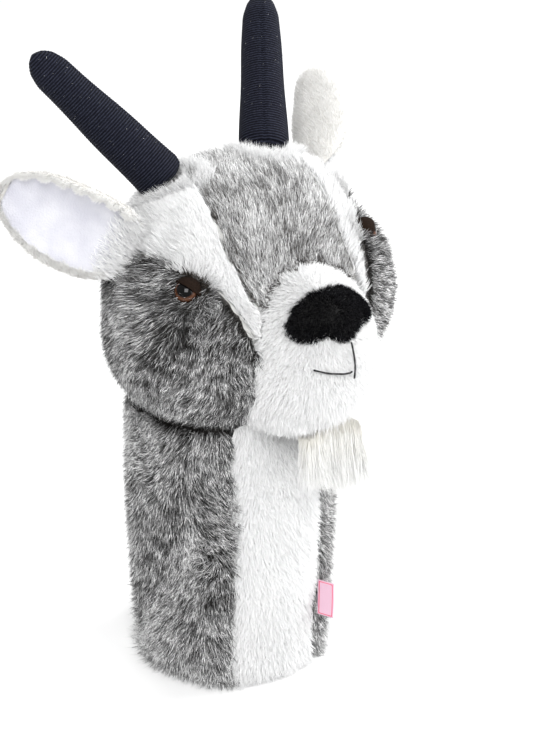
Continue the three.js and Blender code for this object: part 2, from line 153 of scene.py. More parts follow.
def make_mesh(name, points, faces, material_index=None, smooth=True):
    """A mesh of faces that all have the same number of corners."""
    faces = np.asarray(faces, np.int32)
    count, corners = faces.shape
    mesh = bpy.data.meshes.new(name)
    mesh.vertices.add(len(points))
    mesh.vertices.foreach_set("co", np.asarray(points, np.float32).ravel())
    mesh.loops.add(count * corners)
    mesh.loops.foreach_set("vertex_index", faces.ravel())
    mesh.polygons.add(count)
    mesh.polygons.foreach_set("loop_start", np.arange(0, count * corners, corners, dtype=np.int32))
    if material_index is not None:
        mesh.polygons.foreach_set("material_index", np.asarray(material_index, np.int32))
    mesh.polygons.foreach_set("use_smooth", np.full(count, smooth))
    mesh.update(calc_edges=True)
    return mesh


def grid_faces(rows, columns, close_rows=False, close_columns=False):
    """Quads between the points of a grid whose point (i, j) is number i * columns + j."""
    i = np.arange(rows if close_rows else rows - 1)[:, None]
    j = np.arange(columns if close_columns else columns - 1)[None, :]
    i2, j2 = (i + 1) % rows, (j + 1) % columns
    quads = [i * columns + j, i * columns + j2, i2 * columns + j2, i2 * columns + j]
    return np.stack([np.broadcast_to(q, (len(i), j.shape[1])) for q in quads], -1).reshape(-1, 4)


def turns(count):
    """Angles once round."""
    return np.linspace(0, 2 * math.pi, count, endpoint=False)


def give(mesh, name, values):
    """A number for each point, for the material to read."""
    mesh.attributes.new(name, "FLOAT", "POINT").data.foreach_set("value", np.asarray(values, np.float32))


def evaluated(obj):
    graph = bpy.context.evaluated_depsgraph_get()
    return bpy.data.meshes.new_from_object(obj.evaluated_get(graph))


def smoothed(points, edges, rounds, share=0.5):
    count = np.bincount(edges.ravel(), minlength=len(points))[:, None]
    for _ in range(rounds):
        total = np.zeros_like(points)
        np.add.at(total, edges[:, 0], points[edges[:, 1]])
        np.add.at(total, edges[:, 1], points[edges[:, 0]])
        points = points + share * (total / np.maximum(count, 1) - points)
    return points


# ---- materials ----------------------------------------------------------------------------------


def feed(tree, node, inputs):
    """Sets a node's inputs. Another node's output is linked, and anything else is a value."""
    for key, value in inputs.items():
        if isinstance(value, bpy.types.NodeSocket):
            tree.links.new(value, node.inputs[key])
        else:
            node.inputs[key].default_value = value


def add_node(tree, kind, inputs):
    node = tree.nodes.new(f"ShaderNode{kind}")
    feed(tree, node, inputs)
    return node


def new_material(name, color, roughness):
    material = bpy.data.materials.new(name)
    material.use_nodes = True
    tree = material.node_tree
    shader = tree.nodes["Principled BSDF"]
    feed(tree, shader, {"Base Color": (*color, 1), "Roughness": roughness})
    return material, tree, shader


def place_in_row(tree):
    return tree.nodes.new("ShaderNodeTexCoord").outputs["Object"]


def noise(tree, scale, detail=3):
    """A noise texture's output in the row frame, scale being features per metre."""
    inputs = {"Scale": scale, "Detail": detail, "Vector": place_in_row(tree)}
    return add_node(tree, "TexNoise", inputs).outputs["Fac"]


def ramp(tree, value, stops):
    node = add_node(tree, "ValToRGB", {"Fac": value})
    while len(node.color_ramp.elements) < len(stops):
        node.color_ramp.elements.new(0.5)
    for element, (place, color) in zip(node.color_ramp.elements, stops):
        element.position = place
        element.color = (*color, 1)
    return node.outputs["Color"]


def bump(tree, height, depth, strength, shader):
    node = add_node(tree, "Bump", {"Distance": depth, "Strength": strength, "Height": height})
    feed(tree, shader, {"Normal": node.outputs["Normal"]})


def math_node(tree, operation, *values):
    node = add_node(tree, "Math", dict(enumerate(values)))
    node.operation = operation
    return node.outputs["Value"]


def attribute(tree, name):
    node = tree.nodes.new("ShaderNodeAttribute")
    node.attribute_name = name
    return node.outputs["Fac"]


def cloth_material(name, dark, light, scale=700, roughness=0.9, depth=0.0004, sheen=0.2, gloss=0.3):
    """Woven or felted cloth: colour flecks and a fine raised grain."""
    material, tree, shader = new_material(name, light, roughness)
    flecks = ramp(tree, noise(tree, scale), [(0.3, dark), (0.7, light)])
    feed(tree, shader, {"Base Color": flecks, "Sheen Weight": sheen, "Specular IOR Level": gloss})
    bump(tree, noise(tree, scale * 1.7), depth, 0.6, shader)
    return material


def strand_material(name, color):
    """One shade of pile. Its sheen comes and goes in patches as the pile lies one way or another."""
    material, tree, shader = new_material(name, color, 0.6)
    gloss = 0.3 * min(1, max(color) * 5)
    sheen = math_node(tree, "MULTIPLY", noise(tree, 160, 1), gloss)
    feed(tree, shader, {"Specular IOR Level": gloss, "Sheen Weight": sheen})
    return material


def grey(value, warm=0.0):
    return (value * (1 + warm), value, value * (1 - warm))


# Shades of each pile from the root to the tip of a strand, each with a few variants.
LOOKS = {
    "forehead": [[grey(0.05, 0.10), grey(0.09, 0.06)], [grey(0.12, 0.05), grey(0.30), grey(0.46), grey(0.62)],
                 [grey(0.26), grey(0.50), grey(0.76), grey(0.92)]],
    "grey": [[grey(0.012, 0.08), grey(0.025, 0.05)], [grey(0.025, 0.05), grey(0.07), grey(0.13), grey(0.24)],
             [grey(0.05), grey(0.20), grey(0.45), grey(0.80)]],
    "dark": [[grey(0.010, 0.2)], [grey(0.022, 0.2), grey(0.035, 0.15)], [grey(0.04, 0.15), grey(0.09, 0.1)]],
    "white": [[grey(0.74), grey(0.77)], [(0.77, 0.773, 0.777), (0.79, 0.792, 0.794)],
              [(0.80, 0.802, 0.804), (0.83, 0.83, 0.83)]],
    "cream": [[(0.66, 0.645, 0.61)], [(0.75, 0.74, 0.72)], [(0.79, 0.785, 0.77), (0.82, 0.815, 0.80)]],
    "black": [[(0.002, 0.002, 0.002)], [(0.003, 0.003, 0.0035)],
              [(0.005, 0.005, 0.006), (0.016, 0.016, 0.018)]],
    "beard": [[(0.73, 0.715, 0.67)], [(0.79, 0.785, 0.76)], [(0.84, 0.84, 0.83), (0.79, 0.79, 0.78)]],
}
strand_materials = {
    look: [[strand_material(f"{look}_pile_{part}_{k}", color) for k, color in enumerate(variants)]
           for part, variants in enumerate(parts)]
    for look, parts in LOOKS.items()
}

backing = {
    "forehead": cloth_material("forehead_backing", grey(0.10, 0.08), grey(0.22, 0.05)),
    "grey": cloth_material("grey_backing", grey(0.03, 0.08), grey(0.09, 0.05)),
    "white": cloth_material("white_backing", grey(0.72), grey(0.79)),
    "black": cloth_material("black_backing", grey(0.004), grey(0.012)),
    "cream": cloth_material("cream_backing", (0.68, 0.665, 0.63), (0.78, 0.77, 0.745)),
}
backing["dark"] = backing["grey"]

# ---- stuffed panels -----------------------------------------------------------------------------


def soft_copy(node, voxel, rounds):
    """A CAD node's shape with even, softened faces, as a new mesh."""
    rough = link("rough", frame["nodes"][node].data.copy())
    remesh = rough.modifiers.new("remesh", "REMESH")
    remesh.mode = "VOXEL"
    remesh.voxel_size = voxel
    mesh = evaluated(rough)
    bpy.data.objects.remove(rough)
    mesh.materials.clear()
    move_points(mesh, smoothed(points_of(mesh), edges_of(mesh), rounds))
    return mesh


def sink_outside(mesh, outward, sunk, shrink):
    """Moves the outer face in by `sunk`, to leave room for the pile, and every face in by `shrink`."""
    points, normals = points_of(mesh), normals_of(mesh)
    away = outward(points)
    share = np.clip(dot(normals, away), 0, 1)
    move_points(mesh, points - away * share * sunk - normals * shrink)


def inflate(objects, cap, pressure=4, frames=20):
    """Cloth simulation of closed pads under pressure, with each point's move capped."""
    before = {obj: points_of(obj.data) for obj in objects}
    for obj in objects:
        cloth = obj.modifiers.new("cloth", "CLOTH").settings
        cloth.quality = 5
        cloth.mass = 0.3
        cloth.use_pressure = True
        cloth.uniform_pressure_force = pressure
        cloth.effector_weights.gravity = 0
        cloth.tension_stiffness = 15
        cloth.compression_stiffness = 15
        obj.modifiers["cloth"].point_cache.frame_end = frames
    for number in range(1, frames + 1):
        bpy.context.scene.frame_set(number)
    after = {obj: points_of(evaluated(obj)) for obj in objects}
    for obj in objects:
        obj.modifiers.clear()
        move = after[obj] - before[obj]
        far = np.linalg.norm(move, axis=1, keepdims=True)
        move *= np.minimum(1, cap / np.maximum(far, 1e-9))
        move_points(obj.data, smoothed(before[obj] + move, edges_of(obj.data), 2))
    bpy.context.scene.frame_set(1)


def spread_edges(obj, outward, far):
    """Moves a pad's narrow sides out towards its neighbours, so that the seam closes."""
    points, normals = points_of(obj.data), normals_of(obj.data)
    share = np.clip(1.4 - 2 * np.abs(dot(normals, outward(points))), 0, 1)
    move_points(obj.data, points + normals * share * far)


PANELS = {
    # node: (look, slot, outward, how many millimetres the outer face is sunk)
    "forehead_panel": ("forehead", "forehead_fur", from_core, 4.2),
    "stripe_left": ("white", "white_fur", from_core, 4.2),
    "stripe_right": ("white", "white_fur", from_core, 4.2),
    "cheek_left": ("grey", "grey_fur", from_core, 5.4),
    "cheek_right": ("grey", "grey_fur", from_core, 5.4),
    "head_back_panel": ("grey", "grey_fur", from_core, 4.6),
    "muzzle_panel": ("white", "white_fur", from_core, 3.4),
    "chin_panel": ("white", "white_fur", from_core, 3.6),
    "nose_pad": ("black", "nose_fur", from_core, 2.2),
    "neck_bib": ("white", "white_fur", from_axis, 3.4),
    "neck_panel_left": ("grey", "grey_fur", from_axis, 5),
    "neck_panel_right": ("grey", "grey_fur", from_axis, 5),
}

pads = {}
for node, (look, slot, outward, sunk) in PANELS.items():
    mesh = soft_copy(node, 2.6 * MM if node == "nose_pad" else 3.6 * MM, 2)
    sink_outside(mesh, outward, sunk * MM, 0.2 * MM)
    pads[node] = add_object(node.replace("_panel", "") + "_cloth", mesh, None, None, backing[look])
inflate(list(pads.values()), 1.6 * MM)
for node, obj in pads.items():
    spread_edges(obj, PANELS[node][2], 2.2 * MM)
    smooth_faces(obj.data)
    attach(obj, "cover")
    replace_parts(obj, node)

# ---- pile ---------------------------------------------------------------------------------------

MAX_STRANDS = 39000  # in one piece
THIN = 1.0
rng = np.random.default_rng(7)
wave_rows = {k: (rng.normal(size=(5, 3)), rng.random(5) * 6.3, rng.normal(size=(5, 3))) for k in range(4)}


def waves(points, size, which=0):
    """A smooth random vector field whose features are about `size` across."""
    rows, starts, ways = wave_rows[which]
    angle = points @ rows.T * (math.pi / size) + starts
    return np.sin(angle) @ ways / 2.2


def clumps(points, size):
    """For each point the middle of the clump it belongs to, and the clump's random number from 0 to 1."""
    shifted = points + waves(points, size * 3, 3) * size * 0.4
    cell = np.floor(shifted / size).astype(np.int64)
    _, which = np.unique(cell, axis=0, return_inverse=True)
    which = which.ravel()
    count = np.bincount(which)[:, None]
    middle = np.stack([np.bincount(which, points[:, k]) for k in range(3)], 1) / count
    return middle[which], rng.random(len(count))[which]


def wide(size):
    """A strand's width in metres, from millimetres at full density."""
    return size * MM / THIN**0.5


def stray(size, count):
    return size * rng.normal(size=(count, 3))


def strand_steps(ways, long):
    """Strands that go the given ways in equal steps, each `long` metres in all."""
    return np.stack(ways, 1) * long.reshape(-1, 1, 1) / len(ways)


def scatter(mesh, keep, density):
    """Random points on the kept faces, with the faces' normals."""
    points, triangles = points_of(mesh), triangles_of(mesh)
    a, b, c = (points[triangles[:, k]] for k in range(3))
    cross = np.cross(b - a, c - a)
    area = np.linalg.norm(cross, axis=1) / 2
    normal = unit(cross)
    weight = area * keep((a + b + c) / 3, normal)
    count = int(weight.sum() * 1e6 * density)
    chosen = rng.choice(len(area), count, p=weight / weight.sum())
    u, v = rng.random((2, count, 1))
    flip = u + v > 1
    u, v = np.where(flip, 1 - u, u), np.where(flip, 1 - v, v)
    return a[chosen] + u * (b - a)[chosen] + v * (c - a)[chosen], normal[chosen]


def ribbons(roots, steps, width, shade_index, taper, facing):
    """Flat tapering strands. steps is (strands, joints, 3), and the strand ends in a point. facing is the
    way each strand's flat side looks, or None for any way."""
    count, parts = steps.shape[:2]
    spine = np.concatenate([roots[:, None], roots[:, None] + np.cumsum(steps, 1)], 1)
    turned = unit(rng.normal(size=(count, 3)))
    if facing is not None:
        turned = facing + 0.35 * turned
    flat = unit(np.cross(steps[:, 0], turned))
    half = width[:, None, None] / 2 * np.array(taper)[None, :, None]
    left, right = spine[:, :-1] - flat[:, None] * half, spine[:, :-1] + flat[:, None] * half
    points = np.concatenate([np.stack([left, right], 2).reshape(count, -1, 3), spine[:, -1:]], 1)
    per = 2 * parts + 1
    pattern, part_of = [], []
    for k in range(parts - 1):
        pattern += [[2 * k, 2 * k + 1, 2 * k + 3], [2 * k, 2 * k + 3, 2 * k + 2]]
        part_of += [k, k]
    pattern.append([2 * parts - 2, 2 * parts - 1, 2 * parts])
    part_of.append(parts - 1)
    faces = np.arange(count)[:, None, None] * per + np.array(pattern)[None]
    return points.reshape(-1, 3), faces.reshape(-1, 3), shade_index[:, part_of].ravel()


def add_strands(name, body, slot, look, roots, steps, width, light, levels=(0, 1, 2), facing=None,
                taper=(1, 0.9, 0.6)):
    """Pieces of strands, at most MAX_STRANDS each, from top to bottom. `levels` says which part of the
    look each joint has, and `light` from 0 to 1 which variant."""
    parts = strand_materials[look]
    first = np.cumsum([0] + [len(p) for p in parts])
    light = np.clip(light, 0, 0.999)
    width = np.ones(len(roots)) * width
    shade = np.stack([first[p] + (light * len(parts[p])).astype(int) for p in levels], 1)
    order = np.argsort(-roots[:, 2])
    pieces = math.ceil(len(order) / MAX_STRANDS)
    made = []
    for k, chosen in enumerate(np.array_split(order, pieces)):
        chosen = np.sort(chosen)
        points, faces, index = ribbons(roots[chosen], steps[chosen], width[chosen], shade[chosen], taper,
                                       None if facing is None else facing[chosen])
        piece = name if pieces == 1 else f"{name}_{k + 1}"
        mesh = make_mesh(piece, points, faces, index, smooth=False)
        made.append(add_object(piece, mesh, body, slot, *[m for part in parts for m in part]))
    return made


def fur(node, *, comb, length, density, width=0.42, lean=0.7, clump=4.0, gather=0.35, ruffle=0.25,
        bright=0.5, spread=0.5, length_at=None, shade_at=None):
    """Combed pile on the outer side of a panel. comb(points) gives the way it lies."""
    look, slot, outward, _ = PANELS[node]

    def outside(middle, normal):
        return (dot(normal, outward(middle))[:, 0] > 0).astype(float)

    roots, normal = scatter(pads[node].data, outside, density * THIN)
    normal = unit(normal + 0.6 * outward(roots))
    count = len(roots)
    way = comb(roots) + ruffle * waves(roots, 0.022, 0) + 0.5 * ruffle * waves(roots, 0.009, 1)
    way = unit(way - normal * dot(way, normal))
    middle, mood = clumps(roots, clump * MM)
    long = length * MM * (0.75 + 0.5 * rng.random(count))
    if length_at is not None:
        long *= length_at(roots)
    tilt = lean + 0.22 * rng.normal(size=(count, 1))
    first = unit(normal * (1 - 0.5 * tilt) + way * tilt + stray(0.16, count))
    second = unit(first + way * 0.45 + stray(0.12, count))
    third = unit(second + way * 0.35 + stray(0.15, count))
    inwards = (middle - roots) * gather
    steps = np.stack([first * long[:, None] * 0.34, second * long[:, None] * 0.33 + inwards * 0.5,
                      third * long[:, None] * 0.33 + inwards * 0.5], 1)
    light = bright + spread * (0.75 * (mood - 0.5) + 0.9 * (rng.random(count) - 0.5))
    light += 0.15 * waves(roots, 0.03, 2)[:, 0]
    if shade_at is not None:
        light += shade_at(roots)
    thick = wide(width) * (0.7 + 0.6 * rng.random(count))
    sunk = roots - normal * 0.3 * MM
    # Nothing hangs below the surface that the cover stands on: the pile spreads out on it instead.
    low = np.clip(0.4 * MM - (sunk[:, 2:] + np.cumsum(steps[..., 2], 1)), 0, None)
    push = np.diff(low, axis=1, prepend=0)
    steps[..., 2] += push
    steps += outward(roots)[:, None] * 0.5 * np.abs(push)[..., None]
    add_strands(node.replace("_panel", "") + "_fur", "cover", slot, look, sunk, steps, thick, light,
                facing=normal if look == "white" else None)


def relative(points):
    return (points - NECK) / MM


def below(points, top, over):
    """0 down to the height `top`, then growing to 1 over the next `over` millimetres."""
    return np.clip((top - relative(points)[:, 2]) / over, 0, 1)


def near_pair(points, x, y, z, size):
    """1 at a place and its mirror image, fading to 0 within about twice `size` millimetres."""
    near = np.minimum(*(np.linalg.norm(relative(points) - (side * x, y, z), axis=1) for side in (1, -1)))
    return np.exp(-((near / size) ** 2))


def steady(x, y, z):
    return lambda points: np.tile(unit([x, y, z]), (len(points), 1))


def cheek_comb(points):
    p = relative(points)
    way = np.stack([np.sign(p[:, 0]) * 0.25, np.full(len(p), 0.45), np.full(len(p), -0.8)], 1)
    jaw = below(points, 235, 40)[:, None]
    return unit(way * (1 - 0.5 * jaw) + np.array([0, 0, -1]) * 0.5 * jaw)


def brow_comb(points):
    p = relative(points)
    return unit(np.stack([p[:, 0] * 0.004, np.full(len(p), 0.70), np.full(len(p), 0.70)], 1))


def muzzle_comb(points):
    return unit(unit(points - NOSE) * (1, 0.4, 1) + np.array([0, 0.2, -0.6]))


def hem_longer(points):
    return 1 + 0.5 * below(points, 22, 22)


def hem_lighter(points):
    return 0.9 * below(points, 26, 26)


def neck_comb(points):
    """Down, and outwards at the hem."""
    return unit(np.array([0, 0, -1]) + from_axis(points) * 0.6 * below(points, 14, 14)[:, None])


BIB = (-0.65, -0.14, 0.37)  # its right edge, middle and left edge, in radians round from the front


def panel_comb(points):
    """Down the neck, and over the bib's seam beside it."""
    p = relative(points)
    angle = np.arctan2(p[:, 0], -p[:, 1])
    on_left = angle > BIB[1]
    beyond = np.where(on_left, angle - BIB[2], BIB[0] - angle)
    towards = np.exp(-((np.clip(beyond, 0, None) / 0.22) ** 2)) * np.where(on_left, -1, 1)
    tangent = np.stack([np.cos(angle), np.sin(angle), np.zeros(len(p))], 1)
    return unit(neck_comb(points) + 0.8 * towards[:, None] * tangent)


def chin_length(points):
    return 1 + 0.7 * below(points, 212, 25)


def muzzle_length(points):
    return 1 + 1.1 * below(points, 226, 18)


def cheek_length(points):
    """The pile is longest at the temples."""
    return 1 + 1.1 * near_pair(points, 77, -22, 280, 22)


def darker_round_eyes(points):
    return -0.45 * near_pair(points, 71, -45, 279, 20)


def bib_comb(points):
    across = np.clip((relative(points)[:, 0] + 8) / 29, -1, 1)[:, None]
    return unit(neck_comb(points) + np.array([0.45, 0, 0]) * across**3)


STRIPE = dict(comb=brow_comb, length=6.5, density=3.0, lean=0.6, ruffle=0.15)
CHEEK = dict(comb=cheek_comb, length=8.8, density=2.8, ruffle=0.45, gather=0.45, spread=1.35,
             length_at=cheek_length, shade_at=darker_round_eyes)
NECK_SIDE = dict(comb=panel_comb, length=10, density=2.3, width=0.46, ruffle=0.7, gather=0.5, spread=1.3,
                 bright=0.77, length_at=hem_longer, shade_at=hem_lighter)
FUR = {
    "forehead_panel": dict(comb=brow_comb, length=8.5, density=3.2, clump=3, spread=1.1, ruffle=0.18,
                           bright=0.53),
    "stripe_left": STRIPE,
    "stripe_right": STRIPE,
    # The far cheek, on the goat's left, gets lighter shades of pile than the near one: painted light for the
    # light that falls on that side.
    "cheek_left": dict(CHEEK, bright=0.68),
    "cheek_right": CHEEK,
    "head_back_panel": dict(comb=steady(0, 0.3, -1), length=10, density=2.4, gather=0.45, spread=1.25),
    "muzzle_panel": dict(comb=muzzle_comb, length=5, density=3.4, lean=0.5, ruffle=0.15, width=0.36,
                         length_at=muzzle_length),
    "chin_panel": dict(comb=steady(0, 0.1, -1), length=7, density=3.2, length_at=chin_length),
    "nose_pad": dict(comb=muzzle_comb, length=3.2, density=5, lean=0.45, width=0.34, clump=2),
    "neck_bib": dict(comb=bib_comb, length=6.5, density=3.2, ruffle=0.12, length_at=hem_longer),
    "neck_panel_left": NECK_SIDE,
    "neck_panel_right": NECK_SIDE,
}
for node, settings in FUR.items():
    fur(node, **settings)

# ---- collars: what closes the fur round each root and eye ---------------------------------------


def tree_of(objects):
    points, faces, owner, start = [], [], [], 0
    for number, obj in enumerate(objects):
        points.append(points_of(obj.data))
        faces.append(triangles_of(obj.data) + start)
        owner += [number] * len(faces[-1])
        start += len(points[-1])
    return BVHTree.FromPolygons(np.concatenate(points).tolist(), np.concatenate(faces).tolist()), owner


head_nodes = [node for node in PANELS if not node.startswith("neck")]
head_tree, head_owner = tree_of([pads[node] for node in head_nodes])
PILE_SLOTS = {"grey": "grey_fur", "dark": "grey_fur", "white": "white_fur"}


def look_near(points):
    """The look of the head panel nearest to each point."""
    found = []
    for point in points:
        _, _, face, _ = head_tree.find_nearest(Vector(point))
        found.append(PANELS[head_nodes[head_owner[face]]][0])
    return np.array(found)


def collar(name, place, up, wide_way, inner, outer, *, rise, length, density, lay, look=None, width=0.4):
    """A ring of cloth from the edge of the fur to what grows out of it, and the pile on it. inner and outer
    are half-widths in millimetres, and lay is how much the pile leans away from the middle."""
    deep_way = np.cross(up, wide_way)
    turn = turns(72)

    def ring(size):
        across, deep = size[0] * np.cos(turn), size[1] * np.sin(turn)
        return (wide_way * across[:, None] + deep_way * deep[:, None]) * MM

    rim = place + ring(outer)
    heights = np.full(len(turn), np.nan)
    for k, point in enumerate(rim):
        hit, _, _, _ = head_tree.ray_cast(Vector(point + up * 0.03), Vector(-up), 0.055)
        if hit:
            heights[k] = (np.array(hit) - point) @ up
    known = np.flatnonzero(~np.isnan(heights))
    heights = np.interp(np.arange(len(turn)), known, heights[known], period=len(turn))
    for _ in range(4):
        heights = (np.roll(heights, 1) + 2 * heights + np.roll(heights, -1)) / 4
    rows = []
    for share in np.linspace(0, 1, 7):
        size = [o + (i - o) * share for i, o in zip(inner, outer)]
        level = heights * (1 - share) + (heights * 0.6 + heights.mean() * 0.4) * share
        level = level + (rise * math.sin(share * math.pi / 2) - 0.4 * (1 - share)) * MM
        rows.append(place + ring(size) + up * level[:, None])
    mesh = make_mesh(f"{name}_collar", np.concatenate(rows), grid_faces(len(rows), len(turn), False, True))
    base_look = look or "white"
    add_object(f"{name}_collar", mesh, "cover", PILE_SLOTS[base_look], backing[base_look])
    roots, normal = scatter(mesh, lambda middle, normal: np.ones(len(middle)), density * THIN)
    normal = normal * np.sign(dot(normal, up))
    away = roots - place
    away = unit(away - up * dot(away, up))
    count = len(roots)
    way = unit(up * 0.9 + normal * 0.3 + away * lay + stray(0.22, count))
    second = unit(way + away * lay * 0.5 + stray(0.15, count))
    third = unit(second + away * lay * 0.5 + stray(0.2, count))
    long = length * MM * (0.7 + 0.6 * rng.random((count, 1)))
    steps = strand_steps([way, second, third], long)
    looks = np.full(count, base_look)
    if look is None:
        near, far = (look_near(roots + away * distance * MM) for distance in (3, 9))
        looks = np.where((near == "grey") & (far == "grey"), "grey", "white")
    for kind in sorted(set(looks)):
        chosen = looks == kind
        add_strands(f"{name}_{kind}_pile", "cover", PILE_SLOTS[kind], kind, roots[chosen] - up * 0.3 * MM,
                    steps[chosen], wide(width), rng.random(chosen.sum()),
                    facing=normal[chosen] if kind == "white" else None)


def horn_frame(name):
    """Where a horn is sewn on, the way it points, and its joint's axis."""
    joint = JOINTS[f"horn_bend_{name}"]
    return np.array(joint["pos_m"]), unit(mirror(HORN_UP, SIDES[name])), np.array(joint["axis"])


def ear_frame(name):
    """Where an ear is sewn on, and the ways along it, across it and to its front."""
    joint = JOINTS[f"ear_flop_{name}"]
    up, across_way = unit(EAR_UP[name]), np.array(joint["axis"])
    across_way = unit(across_way - up * (across_way @ up))
    return np.array(joint["pos_m"]), up, across_way, np.cross(up, across_way)


EYE_RADIUS, EYE_DOME = 7.0, 4.5  # millimetres: half the rim's width, and how far the dome stands out of it


def eye_frame(name):
    """The way an eye looks, the level way across it, the CAD eye's points, and a place behind its apex."""
    out = unit(mirror(EYE_OUT, SIDES[name]))
    cad = points_of(frame["nodes"][f"eye_{name}"].data)
    return out, unit(np.cross([0, 0, 1], out)), cad, cad[np.argmax(cad @ out)] - out * EYE_DOME * MM


for name in SIDES:
    root, up, axis = horn_frame(name)
    collar(f"horn_{name}", root + up * 2.5 * MM, up, axis, (14.9, 15.3), (21, 21.5),
           rise=1.5, length=9, density=5, lay=0.35)
    root, up, across_way, front_way = ear_frame(name)
    collar(f"ear_{name}", root + front_way * 3 * MM, up, across_way, (1, 1), (31, 16.5),
           rise=0.5, length=8, density=3.6, lay=0.3)
    out, level, _, middle = eye_frame(name)
    collar(f"eye_{name}", middle, out, level, (7.3, 7.3), (11.5, 11.5),
           rise=0.8, length=4.2, density=6, lay=1.3, look="dark", width=0.34)
    collar(f"eye_{name}_outer", middle, out, level, (10.5, 10.5), (16, 16),
           rise=0.8, length=9, density=3, lay=0.7)

# ---- stuffing, linings and hem ------------------------------------------------------------------

wadding = cloth_material("wadding", (0.80, 0.80, 0.78), (0.92, 0.92, 0.90), 300, 0.95, 0.001)
lining_cloth = cloth_material("lining_cloth", grey(0.035), grey(0.07), 1500, 0.7, 0.0002, 0.1)
elastic_cloth = cloth_material("elastic_cloth", grey(0.5), grey(0.7), 900, 0.8, 0.0003, 0.1)
for node in ("head_stuffing", "muzzle_stuffing"):
    mesh = soft_copy(node, 5 * MM, 2)
    sink_outside(mesh, from_core, 0.2 * MM, 0.3 * MM)
    obj = add_object(node.replace("stuffing", "wadding"), mesh, "cover", "stuffing", wadding)
    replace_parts(obj, node)


def sleeve_sheet(name, node, profile, folds, depth, thick, slot, material, wide=0.0):
    """A tube of cloth about the neck's axis through [height, half-width] points, with lengthwise folds."""
    heights, radii = np.array(profile, float).T
    z = np.linspace(heights[0], heights[-1], 60)
    r = np.interp(z, heights, radii)
    turn = turns(120)
    fold = depth * np.sin(folds * turn + 0.6 * np.sin(3 * turn))[None] * (0.6 + 0.4 * np.sin(z / 9))[:, None]
    layers = []
    for offset in (0, -thick):
        radius = r[:, None] + fold + offset
        stretch = 1 + wide * np.clip((z - 180) / 45, 0, 1)[:, None] ** 2
        layers.append(np.stack([radius * np.cos(turn) * stretch, radius * np.sin(turn),
                                np.repeat(z[:, None], len(turn), 1)], -1))
    outer, inner = layers
    ring = np.concatenate([outer, inner[::-1]])
    faces = grid_faces(len(ring), len(turn), True, True)
    mesh = make_mesh(name, NECK + ring.reshape(-1, 3) * MM, faces)
    obj = add_object(name, mesh, "cover", slot, material)
    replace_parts(obj, node)
    flat = (2 * math.pi * float(r.mean()) * MM * (1 + wide / 2), float(heights[-1] - heights[0]) * MM)
    return obj, flat


lining, flat = sleeve_sheet("neck_lining_cloth", "neck_lining",
                            [[3.6, 48.6], [30, 50.5], [100, 52.6], [117, 46.6], [139, 46.6], [149.6, 49]],
                            26, 0.5, 1.0, "lining", lining_cloth)
pocket, flat = sleeve_sheet("pocket_lining_cloth", "pocket_lining",
                            [[150.6, 49], [180, 50], [240, 50], [262, 45], [280, 34], [291, 17],
                             [293.2, 1.2]], 14, 0.4, 1.0, "lining", lining_cloth, 0.2)
# Its walls are about 50 mm from the middle and 95 mm high, and a tenth longer round. Above is a dome.
elastic, flat = sleeve_sheet("elastic_band", "neck_elastic", [[118, 49.3], [138, 49.3]], 60, 0.15, 1.3,
                             "elastic", elastic_cloth)
hem, flat = sleeve_sheet("hem_band", "hem_binding", [[0, 55.2], [0.8, 56.3], [2.2, 56.3], [3, 55.2]],
                         30, 0.1, 7.5, "grey_fur", backing["grey"])

# ---- horns --------------------------------------------------------------------------------------


RIB = 1.6  # millimetres from one rib of the knit to the next


def knit_material():
    material, tree, shader = new_material("horn_knit", (0.02, 0.021, 0.034), 0.75)
    turn = math_node(tree, "MULTIPLY", attribute(tree, "along"), 2 * math.pi / (RIB * MM))
    ribs = math_node(tree, "MULTIPLY", math_node(tree, "SINE", turn), 0.35)
    mixed = math_node(tree, "ADD", ribs, noise(tree, 900))
    # The colour follows the ribs' height as well as random yarn tone: painted shade, darker in the knit's
    # grooves and lighter on its crests.
    color = ramp(tree, mixed, [(0.15, (0.003, 0.003, 0.006)), (0.55, (0.008, 0.009, 0.016)),
                               (0.95, (0.026, 0.029, 0.046))])
    feed(tree, shader, {"Base Color": color, "Specular IOR Level": 0.08})
    bump(tree, mixed, 0.0005, 0.8, shader)
    return material


